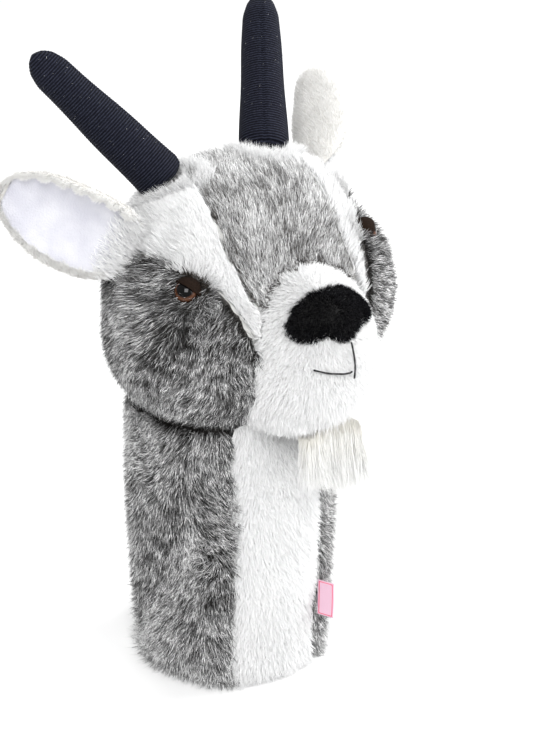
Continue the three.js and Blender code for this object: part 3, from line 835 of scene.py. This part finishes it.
def horn(name, side, material):
    base, up, facing = horn_frame(name)
    back = unit(np.cross(up, facing))
    heights = [-0.8, 1.5, 6, 35, 65, 90, 98, 103, 104.6, 105]
    radii = [9, 13.4, 14.8, 13.5, 12.2, 10.9, 8.6, 4.6, 1.4, 0.15]
    z = np.concatenate([np.arange(-0.8, 90, 0.4), 90 + 15 * np.sin(np.linspace(0, math.pi / 2, 28))])
    r = np.interp(z, heights, radii)
    for _ in range(6):
        r[1:-1] = 0.25 * r[:-2] + 0.5 * r[1:-1] + 0.25 * r[2:]
    turn = turns(64)
    rib = 0.14 * np.sin(2 * math.pi * z / RIB)[:, None]
    seam_turn = -math.pi / 2 * side
    off_seam = np.abs((turn - seam_turn + math.pi) % (2 * math.pi) - math.pi) * np.maximum(r, 1)[:, None]
    seam = -0.7 * np.exp(-((off_seam / 0.9) ** 2)) + 0.35 * np.exp(-(((off_seam - 2.0) / 0.9) ** 2))
    lump = 0.25 * np.sin(z / 9)[:, None] * np.sin(2 * turn + 1)[None]
    radius = np.maximum(r[:, None] + (rib + seam + lump) * np.clip(r / 6, 0, 1)[:, None], 0.05)
    points = (base + facing * (radius * np.cos(turn))[..., None] * MM
              + back * (radius * 1.03 * np.sin(turn))[..., None] * MM + up * (z * MM)[:, None, None])
    faces = grid_faces(len(z), len(turn), False, True)
    if np.cross(facing, back) @ up < 0:
        faces = faces[:, ::-1]
    mesh = make_mesh(f"horn_{name}_knit", points.reshape(-1, 3), faces)
    give(mesh, "along", np.repeat(z * MM, len(turn)))
    obj = add_object(f"horn_{name}_knit", mesh, f"horn_{name}", "horn_knit", material)
    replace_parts(obj, f"horn_sleeve_{name}", f"horn_fill_{name}")
    count = 260
    at = rng.integers(40, len(z) - 10, count)
    where = rng.integers(0, len(turn), count)
    roots = points[at, where]
    out = unit(roots - (base + up * (z[at] * MM)[:, None]))
    steps = unit(rng.normal(size=(count, 3, 3)) + out[:, None] * 0.2) * 0.0007
    add_strands(f"horn_{name}_lint", f"horn_{name}", "horn_knit", "grey", roots + out * 0.1 * MM, steps,
                0.12 * MM, rng.random(count), (1, 2, 2), taper=(1, 1, 0.6))


knit = knit_material()
for name, side in SIDES.items():
    horn(name, side, knit)

# ---- ears ---------------------------------------------------------------------------------------


def satin_material():
    material, tree, shader = new_material("ear_satin", (0.60, 0.60, 0.65), 0.5)
    color = ramp(tree, noise(tree, 60, 4), [(0.3, (0.47, 0.47, 0.53)), (0.7, (0.60, 0.60, 0.64))])
    feed(tree, shader, {"Base Color": color, "Sheen Weight": 0.1})
    bump(tree, noise(tree, 900), 0.0006, 0.7, shader)
    return material


EAR = dict(buried=5, length=84, half_width=31, ply=3.4, cup=34, root_power=3, tip_power=1.6)


def ear_surface(along, across, level):
    """A point of an ear in millimetres (across, towards the front, along) from where it is sewn on."""
    power = np.where(along < 0, EAR["root_power"], EAR["tip_power"])
    full = np.sqrt(np.clip(1 - np.abs(along) ** power, 0, 1))
    angle = across * full * EAR["half_width"] / EAR["cup"]
    radius = EAR["cup"] - level
    return np.stack([radius * np.sin(angle), EAR["cup"] - radius * np.cos(angle),
                     EAR["length"] * (along + 1) / 2 - EAR["buried"]], -1), full


def full_rim(band):
    """How far the back ply's edge stands in front of the ear's middle surface."""
    return np.clip((1 - band) / 0.12, 0, 1)


def ear(name, satin):
    root, up, across_way, front_way = ear_frame(name)
    rows, columns = 60, 56
    along = -np.cos(np.linspace(0, math.pi, rows))[:, None] * np.ones(columns)
    turn = turns(columns)[None] * np.ones((rows, 1))

    def place(local):
        return root + (local[..., :1] * across_way + local[..., 1:2] * front_way + local[..., 2:] * up) * MM

    def ply(face, size, rim):
        across, proud = np.cos(turn) * size, np.sin(turn)
        outside = np.maximum(proud * face, 0)
        full = ear_surface(along, across, 0)[1]
        level = face * (0.15 + EAR["ply"] * full * outside**0.8) + rim * (np.abs(across) ** 6) * full
        wrinkle = 0.5 * np.sin(along * 9 + 2 * across) * outside * full * face
        return place(ear_surface(along * size, across, level + wrinkle)[0])

    faces = grid_faces(rows, columns, False, True)
    for kind, face, size, rim, slot, material in (("inside", 1, 0.93, 0.0, "ear_satin", satin),
                                                  ("outside", -1, 1.0, 0.8, "ear_fur", backing["cream"])):
        mesh = make_mesh(f"ear_{name}_{kind}", ply(face, size, rim).reshape(-1, 3), faces)
        face_outwards(mesh)
        obj = add_object(f"ear_{name}_{kind}", mesh, f"ear_{name}", slot, material)
        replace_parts(obj, f"ear_{'front' if face > 0 else 'back'}_{name}")

    def at_root(middle, normal):
        return np.clip(1.1 - ((middle - root) @ up) / (17 * MM), 0, 1) * (normal @ front_way > 0.1)

    roots, normal = scatter(bpy.data.objects[f"ear_{name}_inside"].data, at_root, 3.2 * THIN)
    count = len(roots)
    first = unit(normal * 0.7 - up * 0.5 + stray(0.25, count))
    second = unit(first - up * 0.5 + stray(0.2, count))
    long = 6 * MM * (0.6 + 0.8 * rng.random((count, 1, 1)))
    steps = strand_steps([first, second, unit(second - up * 0.6)], long)
    add_strands(f"ear_{name}_root_hair", f"ear_{name}", "ear_fur", "white", roots, steps, wide(0.34),
                rng.random(count), (1, 2, 2), normal)

    def behind(middle, normal):
        return (dot(normal, np.tile(front_way, (len(middle), 1)))[:, 0] < 0.35).astype(float)

    roots, normal = scatter(bpy.data.objects[f"ear_{name}_outside"].data, behind, 2.2 * THIN)
    count = len(roots)
    way = unit(up + stray(0.25, count))
    first = unit(normal * 0.8 + way * 0.5 + stray(0.2, count))
    long = 3.0 * MM * (0.7 + 0.6 * rng.random((count, 1)))
    steps = strand_steps([first, unit(first + way * 0.5), unit(first + way)], long)
    add_strands(f"ear_{name}_fur", f"ear_{name}", "ear_fur", "cream", roots, steps, wide(0.36),
                rng.random(count), (1, 2, 2), normal)

    # The back ply's pile curls forward round the edge, in small scallops.
    edge_count = int(16000 * THIN)
    t = rng.random(edge_count) * 2 - 1
    edge_side = np.where(rng.random(edge_count) < 0.5, -1.0, 1.0)
    s = np.sin(math.pi * t / 2)
    band = 0.88 + 0.12 * rng.random(edge_count)
    local = ear_surface(s, edge_side * band, 1.2 * full_rim(band))[0]
    roots = place(local)
    outwards = unit(roots - place(ear_surface(np.clip(s, -0.97, 0.97), edge_side * 0.7, 0.6)[0]))
    facing_in = unit(place(ear_surface(s, edge_side * 0.6, 12)[0]) - roots)
    scallop = 0.85 + 0.3 * np.sin(s * 26)[:, None]
    keep = local[:, 2] > 4
    first = unit(outwards * 0.5 + 0.9 * facing_in + stray(0.25, edge_count))
    second = unit(first + 0.35 * up + stray(0.2, edge_count))
    third = unit(second - outwards * 0.5 + 0.35 * up)
    steps = strand_steps([first, second, third], 4.6 * MM * scallop)
    add_strands(f"ear_{name}_rim", f"ear_{name}", "ear_fur", "cream", roots[keep], steps[keep], wide(0.4),
                rng.random(edge_count)[keep], (1, 2, 2))


satin = satin_material()
for name in SIDES:
    ear(name, satin)

# ---- eyes ---------------------------------------------------------------------------------------


def eye_material():
    """Shiny plastic: black out to the iris, which is brown and streaked, and dark again at the rim."""
    material, tree, shader = new_material("eye_plastic", (0.05, 0.02, 0.012), 0.05)
    streaks = math_node(tree, "MULTIPLY", noise(tree, 2500), 0.0004)
    from_middle = math_node(tree, "ADD", attribute(tree, "radius"), streaks)
    black = (0.001, 0.001, 0.001)
    color = ramp(tree, math_node(tree, "DIVIDE", from_middle, 0.0072), [
        (0.0, black), (0.66, black), (0.71, (0.035, 0.013, 0.006)), (0.83, (0.095, 0.036, 0.016)),
        (0.94, (0.030, 0.012, 0.006)), (1.0, (0.002, 0.0015, 0.001))])
    feed(tree, shader, {"Base Color": color, "Specular IOR Level": 0.06, "Coat Weight": 0.32,
                        "Coat Roughness": 0.02})
    return material


def eye(name, material, lid_material):
    out, level, cad, base = eye_frame(name)
    middle = cad.mean(0)
    base += (middle - base) - out * ((middle - base) @ out)
    across = np.cross(out, level)
    ball = (EYE_RADIUS**2 + EYE_DOME**2) / (2 * EYE_DOME)
    angles = np.linspace(0.001, math.asin(EYE_RADIUS / ball), 24)
    profile = [(ball * math.sin(a), EYE_DOME - ball + ball * math.cos(a)) for a in angles]
    profile += [(EYE_RADIUS, -0.4), (6.8, -1.0), (2.0, -1.0), (2.0, -11), (0.01, -11)]
    turn = turns(48)
    rows = [base + (level * (r * np.cos(turn))[:, None] + across * (r * np.sin(turn))[:, None] + out * z) * MM
            for r, z in profile]
    faces = grid_faces(len(profile), len(turn), False, True)[:, ::-1]
    mesh = make_mesh(f"eye_{name}_dome", np.concatenate(rows), faces)
    give(mesh, "radius", np.repeat([r * MM for r, _ in profile], len(turn)))
    obj = add_object(f"eye_{name}_dome", mesh, "cover", "eye_plastic", material)
    face_outwards(mesh, base)
    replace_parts(obj, f"eye_{name}")
    lid = soft_copy(f"eyelid_{name}", 0.45 * MM, 3)
    obj = add_object(f"eyelid_{name}_felt", lid, "cover", "eyelid", lid_material)
    smooth_faces(lid)
    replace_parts(obj, f"eyelid_{name}")


eye_plastic = eye_material()
lid_felt = cloth_material("lid_felt", (0.004, 0.003, 0.002), (0.022, 0.012, 0.008), 1800, 0.8, 0.0003,
                          sheen=0.0, gloss=0.06)
for name in SIDES:
    eye(name, eye_plastic, lid_felt)
washer, tree, shader = new_material("washer_plastic", (0.8, 0.8, 0.78), 0.5)
feed(tree, shader, {"Base Color": ramp(tree, noise(tree, 500), [(0.3, grey(0.72)), (0.7, grey(0.82))])})
for name in SIDES:
    node = frame["nodes"][f"eye_washer_{name}"]
    node.data.materials.clear()
    node.data.materials.append(washer)

# ---- mouth --------------------------------------------------------------------------------------

thread_cloth = cloth_material("thread", (0.003, 0.003, 0.003), (0.014, 0.014, 0.016), 2500, 0.6, 0.0002, 0.1)


def thread(name, path, radius, sides=10):
    way = unit(np.gradient(path, axis=0))
    side_way = unit(np.cross(way, [0.3, 0.2, 1]))
    other = np.cross(way, side_way)
    turn = turns(sides)
    twist = np.linspace(0, 30, len(path))[:, None]
    r = radius * np.where(np.arange(len(path)) % (len(path) - 1) == 0, 0.2, 1)  # narrow at both ends
    wave = 1 + 0.08 * np.sin(2 * turn[None] + twist)
    points = path[:, None] + (side_way[:, None] * np.cos(turn)[None, :, None]
                              + other[:, None] * np.sin(turn)[None, :, None]) * (r[:, None] * wave)[..., None]
    mesh = make_mesh(name, points.reshape(-1, 3), grid_faces(len(path), sides, False, True))
    return add_object(name, mesh, "cover", "thread", thread_cloth)


def on_muzzle(tree, x, z, depth):
    start = Vector(NECK + np.array([x * MM, -0.2, z * MM]))
    place, normal, _, _ = tree.ray_cast(start, Vector((0, 1, 0)))
    return np.array(place - normal * depth * MM)


muzzle_data = frame["nodes"]["muzzle_panel"].data
muzzle_tree = BVHTree.FromPolygons([v.co for v in muzzle_data.vertices],
                                   [tuple(p.vertices) for p in muzzle_data.polygons])
STITCHES = {"centre": [[0, 247], [0.6, 241], [0.9, 236], [0.6, 230], [0, 224]],
            "right": [[-1.5, 229.8], [-3, 229.2], [-8, 230], [-16, 231.6], [-25, 235]]}
for name, knots in STITCHES.items():
    knots = np.array(knots, float)
    t = np.linspace(0, len(knots) - 1, 40)
    xs, zs = (np.interp(t, range(len(knots)), knots[:, k]) for k in range(2))
    path = smoothed(np.array([on_muzzle(muzzle_tree, x, z, -0.1) for x, z in zip(xs, zs)]),
                    np.stack([np.arange(39), np.arange(1, 40)], 1), 4, 0.4)
    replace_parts(thread(f"mouth_thread_{name}", path, 0.55 * MM), f"mouth_stitch_{name}")

# ---- beard --------------------------------------------------------------------------------------


def beard():
    low, high = (np.array(c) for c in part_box("beard_tuft"))
    count = int(15000 * THIN)
    top = np.array([(low[0] + high[0]) / 2, high[1] - 5 * MM, high[2] - 2 * MM])
    u, v = np.clip(rng.normal(size=count) * 0.55, -1.15, 1.15), rng.random(count) * 2 - 1
    high_by = 4 * MM * (1 - u**2) + rng.random(count) * 4 * MM
    roots = top + np.stack([(u * 17 + 2) * MM, v * 5 * MM, high_by], 1)
    long = (47 + 10 * u) * (1 - 0.7 * rng.random(count) ** 1.2) * MM
    middle, mood = clumps(roots, 2.2 * MM)
    fan = np.stack([0.10 + 0.10 * u + 0.05 * rng.normal(size=count) + 0.14 * (mood - 0.5),
                    -0.14 - 0.12 * v + 0.06 * rng.normal(size=count) + 0.14 * (mood - 0.5),
                    np.full(count, -1.0)], 1)
    ways = []
    for k in range(6):
        bend = waves(roots, 0.012, 1) * 0.04 * k + stray(0.03 * k, count)
        tuck = (middle - roots) / 0.05 * 0.35
        ways.append(unit(fan + bend + tuck + np.array([0, 0.025 * k, 0])))
    made = add_strands("beard_hair", "beard", "beard_fur", "beard", roots, strand_steps(ways, long),
                       wide(0.22), rng.random(count), (0, 1, 1, 2, 2, 2), taper=(0.8, 1, 1, 0.9, 0.75, 0.5))
    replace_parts(made[0], "beard_tuft")


beard()

# ---- label --------------------------------------------------------------------------------------


def tape_material():
    """Pink woven tape with a red line a little way in from its edge."""
    material, tree, shader = new_material("label_tape", (0.88, 0.78, 0.83), 0.55)
    weave = add_node(tree, "TexChecker", {"Scale": 2600, "Color1": (0.76, 0.50, 0.61, 1),
                                          "Color2": (0.68, 0.42, 0.54, 1), "Vector": place_in_row(tree)})
    off, on = (0, 0, 0), (1, 1, 1)
    line = ramp(tree, math_node(tree, "DIVIDE", attribute(tree, "from_edge"), 3),
                [(0.0, off), (0.22, off), (0.26, on), (0.42, on), (0.46, off)])
    mix = tree.nodes.new("ShaderNodeMix")
    mix.data_type = "RGBA"
    feed(tree, mix, {"Factor": line, "A": weave.outputs["Color"], "B": (0.75, 0.10, 0.18, 1)})
    feed(tree, shader, {"Base Color": mix.outputs["Result"]})
    bump(tree, weave.outputs["Fac"], 0.0001, 0.5, shader)
    return material


def label():
    low, high = (corner[2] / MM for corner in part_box("side_label"))
    turn = math.radians(21 - 90)  # 21 degrees round from the front, to the goat's left
    out = np.array([math.cos(turn), math.sin(turn), 0])
    side_way = np.array([-out[1], out[0], 0])
    start = NECK + out * 61.6 * MM
    along, up = np.meshgrid(np.linspace(0, 11, 24), np.linspace(low + 0.2, high - 0.2, 40))
    curl = 0.5 * np.sin(along / 11 * 2.2) * np.sin((up - 35) / 25 * math.pi) - 0.1 * along / 11
    layers = [start + (out * along[..., None] + side_way * (curl + k)[..., None]
                       + np.array([0, 0, 1]) * up[..., None]) * MM for k in (0.2, -0.2)]
    rows, columns = along.shape
    front, back = grid_faces(rows, columns), grid_faces(rows, columns)[:, ::-1] + rows * columns
    index = np.arange(rows * columns).reshape(rows, columns)
    loop = np.concatenate([index[0], index[1:, -1], index[-1, -2::-1], index[-2:0:-1, 0]])
    nxt = np.roll(loop, -1)
    rim = np.stack([loop, loop + rows * columns, nxt + rows * columns, nxt], 1)
    points = np.concatenate([layer.reshape(-1, 3) for layer in layers])
    mesh = make_mesh("side_tape", points, np.concatenate([front, back, rim]))
    from_edge = np.minimum(np.minimum(along, 11 - along), np.minimum(up - up.min(), up.max() - up))
    give(mesh, "from_edge", np.tile(from_edge.ravel(), 2))
    obj = add_object("side_tape", mesh, "label", "label_tape", tape_material())
    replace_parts(obj, "side_label")


label()

# ---- floor, light and camera --------------------------------------------------------------------

floor_mesh = make_mesh("floor", [[-4, -4, 0], [4, -4, 0], [4, 4, 0], [-4, 4, 0]], [[0, 1, 2, 3]])
floor = add_object("floor", floor_mesh, None, None, new_material("floor", (0.88, 0.88, 0.88), 0.9)[0])

world = bpy.data.worlds.new("studio")
bpy.context.scene.world = world
world.use_nodes = True
feed(world.node_tree, world.node_tree.nodes["Background"], {"Color": (1, 1, 1, 1), "Strength": 0.6})


def place_looking(name, data, place, way):
    obj = link(name, data)
    obj.location = place
    obj.rotation_mode = "QUATERNION"
    obj.rotation_quaternion = way.to_track_quat("-Z", "Y")
    return obj


def area_light(name, place, size, power):
    light = bpy.data.lights.new(name, "AREA")
    light.energy = power
    light.size = size
    place_looking(name, light, place, MIDDLE - Vector(place))


MIDDLE = Vector(NECK) + Vector((0, 0, 0.2))
area_light("key", (-0.85, -0.75, 1.35), 0.8, 21.5)
area_light("fill", (0.4, -1.3, 0.7), 1.0, 7)
area_light("rim", (0.5, 1.0, 1.3), 0.8, 7)
area_light("side", (1.35, -0.35, 0.7), 0.8, 23)

azimuth, elevation, distance = math.radians(-40), math.radians(26), 1.5
level = math.cos(elevation)
back = Vector((math.sin(azimuth) * level, -math.cos(azimuth) * level, math.sin(elevation)))
camera = place_looking("camera", bpy.data.cameras.new("camera"), MIDDLE + back * distance, -back)
bpy.context.scene.camera = camera
camera.data.sensor_fit = "VERTICAL"
camera.data.sensor_height = 36
camera.data.lens = 120.5
camera.data.shift_x, camera.data.shift_y = 0.0485, -0.0268
bpy.context.scene.view_settings.view_transform = "Standard"
